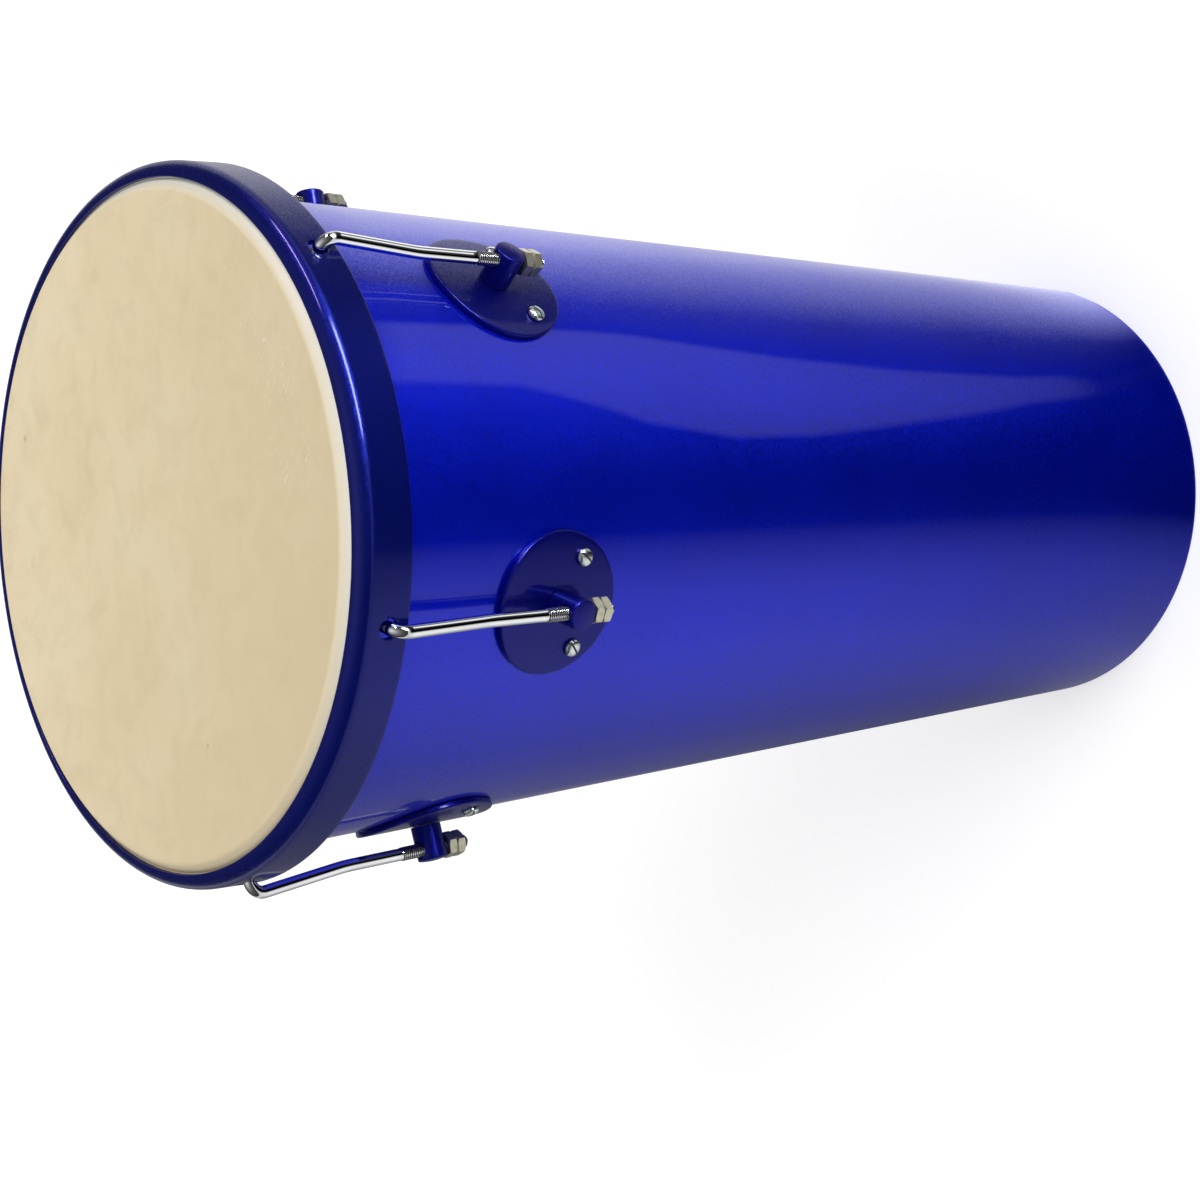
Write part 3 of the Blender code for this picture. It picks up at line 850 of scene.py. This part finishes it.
def ringAt(point, along, radii):
    # A ring round the rod: point and along lie in the lug's upright plane
    made = []
    for angle, radius in zip(stepAngles(len(radii)), radii):
        out = radius * math.cos(angle)
        made.append((point[0] - along[1] * out, radius * math.sin(angle), point[1] + along[0] * out))
    return made


def threadRadius(turn):
    # Radius over one pitch: crest, flank, root and flank back
    share = turn % 1.0
    flank = (share - hook["crestEnd"]) / (hook["rootStart"] - hook["crestEnd"])
    back = (1.0 - share) / (1.0 - hook["rootEnd"])
    return hook["threadRadius"] - hook["threadDepth"] * max(0.0, min(flank, back, 1.0))


def direction(start, end):
    # In the lug's upright plane, like the points
    length = math.dist(start, end)
    return ((end[0] - start[0]) / length, (end[1] - start[1]) / length)


def ahead(point, along, run):
    return (point[0] + along[0] * run, point[1] + along[1] * run)


def hookShape():
    path = shankPath()
    rings = []
    along = direction(path[0], path[1])
    for share, run in hook["tipRings"]:
        rings.append(ringAt(ahead(path[0], along, run), along, [hook["radius"] * share] * hook["sides"]))
    for before, point, after in zip(path, path[1:], path[2:] + path[-1:]):
        along = direction(before, after)
        rings.append(ringAt(point, along, [hook["radius"]] * hook["sides"]))
    start = path[-1]
    end = rodPoint(-rodEnd)
    along = direction(start, end)
    length = math.dist(start, end)
    step = hook["pitch"] / hook["ringsPerPitch"]
    for number in range(1, int(length / step) + 1):
        run = number * step
        fade = min(1.0, run / hook["pitch"])
        cone = hook["threadRadius"] - max(0.0, run - length + hook["pitch"]) * hook["endTaper"]
        turns = [run / hook["pitch"] - index / hook["sides"] for index in range(hook["sides"])]
        radii = [min(cone, hook["radius"] + fade * (threadRadius(turn) - hook["radius"])) for turn in turns]
        rings.append(ringAt(ahead(start, along, run), along, radii))
    return joinRings(rings)


def markRoots(mesh):
    # The thread's grooves take the second material, a dark painted shade
    start = Vector((rodPoint(0)[0], 0, rodPoint(0)[1]))
    along = Vector((leanSin, 0, leanCos))
    lowest = hook["pitch"] - rodEnd
    highest = lug["postRadius"] + hook["threadAbovePost"] - hook["pitch"] / 2
    for face in mesh.polygons:
        away = face.center - start
        rise = away.dot(along)
        depth = hook["threadRadius"] - (away - along * rise).length
        deep = depth > hook["threadDepth"] * hook["grooveShadeDepth"]
        face.material_index = int(deep and lowest < rise < highest)


# Hexagon nuts, with their corners turned off to a cone on both faces

def hexRadius(angle, flats):
    return flats / 2 / math.cos(angle % (math.pi / 3) - math.pi / 6)


def hexRing(flats, height, slope):
    # A hexagon whose corners slope away along Z, from where the chamfer starts
    made = []
    for angle in stepAngles(nut["steps"]):
        radius = hexRadius(angle, flats)
        beyond = max(0.0, radius - flats / 2 * nut["chamferShare"])
        made.append(polar(radius, angle, height + beyond * slope))
    return made


def hexNutMesh():
    top = nut["height"] / 2
    face = nut["flats"] / 2 * nut["chamferShare"]
    slope = math.tan(math.radians(nut["chamferAngle"]))
    bore = nut["boreRadius"]
    lead = bore * nut["leadShare"]
    rings = turned([(bore + lead, top), (face, top)], nut["steps"])
    rings += [hexRing(nut["flats"], top, -slope), hexRing(nut["flats"], -top, slope)]
    rings += turned([(face, -top), (bore + lead, -top), (bore, lead - top), (bore, top - lead)], nut["steps"])
    return shapeToMesh("hexNut", joinRings(rings, loop=True))


# Lug screws, and the flanged nuts that hold them inside the shell

screw = {
    "spread": 0.0186,
    "drop": 0.0112,
    "radius": 0.0019,
    "headRadius": 0.0038,
    "headHeight": 0.0024,
    "slotWidth": 0.0009,
    "slotDepth": 0.0011,
    "slotTurns": (40.0, 52.0, 18.0, 71.0, 33.0, 62.0, 5.0, 48.0, 80.0, 27.0, 57.0, 14.0),
    # A pan head is a low dome that drops quickly to its rim
    "domeAngles": (8, 20, 34, 48, 60, 70, 78, 84),
    "domePower": 0.62,
    "rimShare": 0.12,
    "steps": 48,
    "end": 0.0015,
    "endChamfer": 0.0004,
    "nutGap": 0.0005,
    "flangeRadius": 0.0048,
    "flangeHeight": 0.001,
    "nutFlats": 0.007,
    "nutHeight": 0.0032,
    "nutPlay": 0.0002,
    "nutLead": 0.0003,
    "nutSlope": 0.58,
    "flangeSide": 0.7,
}


def screwFrames(angle):
    height = lugHeight - screw["drop"] * leanCos
    offset = screw["spread"] / shellRadius(height)
    return [surfaceFrame(angle + side * offset, height) for side in (-1, 1)]


def screwMesh(slotTurn):
    seat = 2 * drum["seatGap"] + lug["plateThickness"]
    tip = -(shell["wall"] + screw["nutGap"] + screw["flangeHeight"] + screw["nutHeight"] + screw["end"])
    head = screw["headRadius"]
    high = screw["headHeight"]
    end = screw["endChamfer"]
    angles = [math.radians(a) for a in screw["domeAngles"]]
    profile = [(head * math.sin(a), seat + high * math.cos(a) ** screw["domePower"]) for a in angles]
    profile += [(head, seat + high * screw["rimShare"]), (head, seat), (screw["radius"], seat)]
    profile += [(screw["radius"], tip + end), (screw["radius"] - end, tip)]
    body = turnedMesh("lugScrew", profile, screw["steps"])
    blade = bmesh.new()
    bmesh.ops.create_cube(blade, size=1.0)
    bmesh.ops.scale(blade, vec=(head * 2.4, screw["slotWidth"], screw["slotDepth"] * 2), verts=blade.verts)
    cutter = shapeToMesh("slotCutter", blade, Matrix.Translation((0, 0, seat + high)))
    spin = rotation(slotTurn, "Z")
    made = cutMesh(body, [(cutter, spin)])
    # The slot's floor takes the second material, painted shade
    floorHeight = seat + high - screw["slotDepth"]
    for face in made.polygons:
        flat = spin.inverted() @ face.center
        within = abs(flat.y) < screw["slotWidth"] / 2 - drum["tolerance"]
        face.material_index = int(within and abs(flat.z - floorHeight) < drum["tolerance"])
    return made


def shellNutMesh():
    seat = -(shell["wall"] + screw["nutGap"])
    flange = screw["flangeHeight"]
    low = seat - (screw["nutHeight"] + flange)
    flats = screw["nutFlats"]
    rim = screw["flangeRadius"]
    play = screw["nutPlay"]
    bore = screw["radius"] + play
    lead = screw["nutLead"]
    side = seat - flange * screw["flangeSide"]
    rings = turned([(bore, seat), (rim - play, seat), (rim, seat - lead), (rim, side)], nut["steps"])
    rings += [hexRing(flats, seat - flange, 0.0), hexRing(flats, low, screw["nutSlope"])]
    face = flats / 2 * nut["chamferShare"]
    rings += turned([(face, low), (bore + lead, low), (bore, low + lead)], nut["steps"])
    return shapeToMesh("shellNut", joinRings(rings, loop=True))


def addLugs():
    plate = shapeToMesh("lugPlate", plateShape())
    post = postMesh()
    rod = shapeToMesh("tensionHook", hookShape())
    markRoots(rod)
    hexNut = hexNutMesh()
    shellNut = shellNutMesh()
    for index, angle in enumerate(lugAngles()):
        number = str(index + 1)
        around = Matrix.Rotation(angle, 4, "Z")
        for name, node, mesh, place in (("lugPlate", "lug_plate_", plate, around),
                                        ("lugPost", "lug_post_", post, surfaceFrame(angle, lugHeight))):
            addPiece(name + number, mesh, [lugEnamel], "drum", [node + number], place)
        addPiece("tensionHook" + number, rod, [hookChrome, paintedGrooveShade], "hoop",
                 ["tension_hook_" + number], around)
        twist = nut["turnStep"] * index
        for name, node, station, turn in (("tensionNut", "tension_nut_", nutStation, nut["firstTurn"]),
                                          ("lockNut", "lock_nut_", lockStation, nut["lockTurn"])):
            place = rodFrame(angle, station) @ rotation(turn + twist, "Z")
            addPiece(name + number, hexNut, [nutNickel], node + number, [node + number], place)
        for side, place in enumerate(screwFrames(angle)):
            mark = number + "ab"[side]
            head = screwMesh(screw["slotTurns"][index * 2 + side])
            addPiece("lugScrew" + mark, head, [screwZinc, paintedGrooveShade], "drum",
                     ["lug_screw_" + mark], place)
            addPiece("shellNut" + mark, shellNut, [screwZinc], "drum",
                     ["shell_nut_" + mark], place)


addLugs()
print("lugs, hooks, nuts and screws made")


# Studio: a pale floor, soft light and the cards that the gloss reflects

studio = {
    "floorReach": 30.0,
    "floorColour": (0.66, 0.66, 0.66, 1),
    "grainColour": (0.58, 0.58, 0.58, 1),
    "grainScale": 900.0,
    "grainShare": 0.03,
    "floorGlow": 0.48,
    "skyStrength": 0.50,
    # The sky's level at the horizon and straight up, and by height the share of it that the gloss sees
    "skyRise": (0.75, 1.10),
    "glossySky": ((0.0, 0.12), (0.45, 0.20), (0.75, 0.45), (0.95, 1.4)),
    "suns": (
        {"name": "keyLight", "from": (0.80, -0.45, 0.85), "strength": 1.25, "spread": 40.0},
        {"name": "fillLight", "from": (-0.70, -0.75, 0.75), "strength": 0.70, "spread": 60.0},
        {"name": "backLight", "from": (-0.15, 0.90, 0.70), "strength": 0.50, "spread": 60.0},
    ),
}
# The floor as the gloss sees it, a painted reflection, with painted shade near the foot. Each row is a
# distance from the drum's axis, with its brightness, the directions in degrees where the dark gap starts and
# ends and the dark band starts, the band's glow and the brightness of the strip between gap and band and of
# the side behind the gap
mirrorRows = (
    (0.1113, 0.36, -30, -37, -42, 0.0, 0.04, 3.2),
    (0.13, 0.38, -24, -36, -41, 0.0, 0.05, 2.6),
    (0.15, 0.40, -18, -36, -41, 0.0, 0.10, 2.0),
    (0.17, 0.42, -15, -32, -41, 0.0, 0.75, 1.7),
    (0.20, 0.46, -9, -30, -41, 0.0, 0.92, 1.5),
    (0.28, 0.60, -4, -24, -46, 0.0, 0.95, 1.15),
    (0.36, 0.72, 1, -18, -50, 0.0, 0.95, 1.0),
    (0.42, 0.78, 3, -13, -50, 0.0, 0.95, 1.0),
    (0.49, 0.85, 5, -8, -44, 0.0, 0.95, 1.0),
    (0.60, 0.95, 8, -6, -30, 0.14, 1.0, 1.0),
    (0.71, 1.0, 9, -6, -29, 0.18, 1.0, 1.0),
    (0.80, 0.85, 15, -6, -31, 0.04, 0.04, 0.85),
    (1.5, 0.80, 18, -6, -31, 0.02, 0.02, 0.75),
    (3.0, 0.80, 18, -6, -31, 0.02, 0.02, 0.75),
)
mirrorHeight = 0.0008
mirrorSteps = 6
# Light cards stand 4 m off. Their corners are directions in degrees: round the drum, then up
lightCards = {
    "stripCard": {"corners": ((-14, -6), (-54, -13), (-54, 4), (-14, 14)), "glow": (30.0, 33.0, 36.0)},
    "roseCard": {"corners": ((25, 8), (-8, 28), (-8, 36), (25, 16)), "glow": (30.0, 21.0, 25.0)},
}
cardDistance = 4.0
cardSteps = 16


def makeCardMaterial():
    # Cards carry their own brightness and cover on their points
    material = bpy.data.materials.new("studioCard")
    material.use_nodes = True
    tree = material.node_tree
    tree.nodes.clear()
    glow, cover = [addNode(tree, "ShaderNodeAttribute", attribute_name=name).outputs
                   for name in ("glow", "cover")]
    bright = addNode(tree, "ShaderNodeEmission", {"Color": glow["Color"]}).outputs[0]
    clear = addNode(tree, "ShaderNodeBsdfTransparent").outputs[0]
    share = greyRamp(tree, cover["Fac"], (0.0, 0.0), (1.0, 1.0), smooth=True)
    blend = addNode(tree, "ShaderNodeMixShader", {0: share, 1: clear, 2: bright}).outputs[0]
    addNode(tree, "ShaderNodeOutputMaterial", {"Surface": blend})
    return material


def addCard(name, rows, glows, covers, material):
    # A card that only reflections see: rows of points, each with its brightness and cover
    across = len(rows[0])
    points = [point for row in rows for point in row]
    faces = [(r * across + c, r * across + c + 1, (r + 1) * across + c + 1, (r + 1) * across + c)
             for r in range(len(rows) - 1) for c in range(across - 1)]
    mesh = bpy.data.meshes.new(name)
    mesh.from_pydata(points, [], faces)
    bright = mesh.attributes.new("glow", "FLOAT_COLOR", "POINT")
    bright.data.foreach_set("color", [value for glow in glows for value in (*glow, 1.0)])
    solid = mesh.attributes.new("cover", "FLOAT", "POINT")
    solid.data.foreach_set("value", covers)
    mesh.materials.append(material)
    card = addObject(name, mesh)
    card.visible_camera = False
    card.visible_diffuse = False
    card.visible_shadow = False
    card.visible_transmission = False


def mirrorProfile(gapStart, gapEnd, bandStart, bandGlow, strip, behind):
    # Brightness round the drum, from the side behind it to the front and back again
    return ((-180, 0.34), (-165, 0.45), (-150, 0.70), (-130, 1.0), (-106, 1.0), (-98, 0.86), (-93, 0.65),
            (-89, 0.49), (-86, 0.28), (-82.5, 0.0), (-62, 0.0), (bandStart - 10, bandGlow / 3),
            (bandStart - 1.5, bandGlow), (bandStart + 1.5, strip), ((bandStart + gapEnd) / 2, strip * 1.05),
            (gapEnd - 1.5, strip), (gapEnd + 1, 0.02), (gapEnd + 4, 0.06), (gapStart, 0.14),
            (gapStart + 9, behind * 0.6), (gapStart + 18, behind), (47, behind * 1.45), (60, behind * 1.25),
            (90, behind * 0.9), (120, behind * 0.5), (150, 0.22), (180, 0.34))


def addMirrorFloor(material):
    # A glowing sheet that only reflections see: a painted reflection of bright paper with a dark gap and a
    # dark band, and painted shade towards the drum's foot
    rows, glows, covers = [], [], []
    for radius, share, *marks in mirrorRows:
        profile = mirrorProfile(*marks)
        row = []
        for start, end in zip(profile, profile[1:]):
            row += line(start, end, mirrorSteps)[:-1]
        row.append(profile[-1])
        rows.append([polar(radius, math.radians(angle), mirrorHeight) for angle, value in row])
        glows += [(value * share,) * 3 for angle, value in row]
        covers += [0.0 if radius == mirrorRows[-1][0] else 1.0] * len(row)
    addCard("mirrorFloor", rows, glows, covers, material)


def addLightCard(name, look, material):
    # A patch of a sphere round the drum's head, soft towards its edges
    rows, glows, covers = [], [], []
    first, second, third, fourth = look["corners"]
    shares = [step / cardSteps for step in range(cardSteps + 1)]
    for v in shares:
        row = []
        for around, up in line(between(first, fourth, v), between(second, third, v), cardSteps):
            up = math.radians(up)
            height = drum["height"] + cardDistance * math.sin(up)
            row.append(polar(cardDistance * math.cos(up), math.radians(around), height))
        rows.append(row)
        glows += [look["glow"]] * len(row)
        covers += [min(1.0, 5 * min(u, 1 - u), 3 * min(v, 1 - v)) for u in shares]
    addCard(name, rows, glows, covers, material)


def addFloor():
    shape = bmesh.new()
    bmesh.ops.create_grid(shape, x_segments=8, y_segments=8, size=studio["floorReach"])
    floor = addObject("floor", shapeToMesh("floor", shape))
    material, tree, shader = startMaterial("paleFloor", {
        "Roughness": 0.9, "Specular IOR Level": 0.1, "Emission Color": (1, 1, 1, 1)})
    grain = noiseField(tree, objectPlace(tree), studio["grainScale"], 2.0)
    share = spread(tree, grain, 0.0, studio["grainShare"])
    colour = mixColours(tree, share, studio["floorColour"], studio["grainColour"])
    rays = addNode(tree, "ShaderNodeLightPath").outputs
    glow = times(tree, rays["Is Camera Ray"], studio["floorGlow"])
    feed(tree, shader, {"Base Color": colour, "Emission Strength": glow})
    floor.data.materials.append(material)


def addSuns():
    for sun in studio["suns"]:
        lamp = bpy.data.lights.new(sun["name"], "SUN")
        lamp.energy = sun["strength"]
        lamp.angle = math.radians(sun["spread"])
        item = addObject(sun["name"], lamp)
        item.rotation_euler = Vector(sun["from"]).to_track_quat("Z", "Y").to_euler()
        item.visible_glossy = False


def makeSky():
    world = bpy.data.worlds.new("studioSky")
    world.use_nodes = True
    tree = world.node_tree
    height = axesOf(tree, addNode(tree, "ShaderNodeTexCoord").outputs["Generated"])["Z"]
    soft = times(tree, spread(tree, height, *studio["skyRise"]), studio["skyStrength"])
    inGloss = addNode(tree, "ShaderNodeFloatCurve", {"Value": height})
    points = inGloss.mapping.curves[0].points
    first, second, *others = studio["glossySky"]
    points[0].location = first
    points[1].location = second
    for place in others:
        points.new(*place)
    inGloss.mapping.update()
    # The camera sees plain white, and glossy rays a dimmer sky than the others
    rays = addNode(tree, "ShaderNodeLightPath").outputs
    dimmed = times(tree, soft, spread(tree, rays["Is Glossy Ray"], 1.0, inGloss.outputs[0]))
    unseen = mathNode(tree, "SUBTRACT", 1.0, rays["Is Camera Ray"])
    strength = timesPlus(tree, dimmed, unseen, rays["Is Camera Ray"])
    feed(tree, tree.nodes["Background"], {"Color": (1, 1, 1, 1), "Strength": strength})
    bpy.context.scene.world = world


# Camera: the photograph's view, turned so that the standing drum lies across the picture

camera = {
    "location": (0.2486, -0.8652, 1.0573),
    "turn": (-4.182, 51.365, -77.86),
    "lens": 74.029,
    "sensor": 36.0,
    "clipStart": 0.01,
    "shift": (0.04182, -0.03346),
}


def addCamera():
    data = bpy.data.cameras.new("photoCamera")
    data.lens = camera["lens"]
    data.sensor_width = camera["sensor"]
    data.shift_x, data.shift_y = camera["shift"]
    data.clip_start = camera["clipStart"]
    item = addObject("photoCamera", data)
    item.location = camera["location"]
    item.rotation_euler = [math.radians(a) for a in camera["turn"]]
    bpy.context.scene.camera = item


addFloor()
cardMaterial = makeCardMaterial()
addMirrorFloor(cardMaterial)
for name, look in lightCards.items():
    addLightCard(name, look, cardMaterial)
addSuns()
makeSky()
addCamera()
bpy.context.scene.view_settings.view_transform = "Standard"
print("studio made")
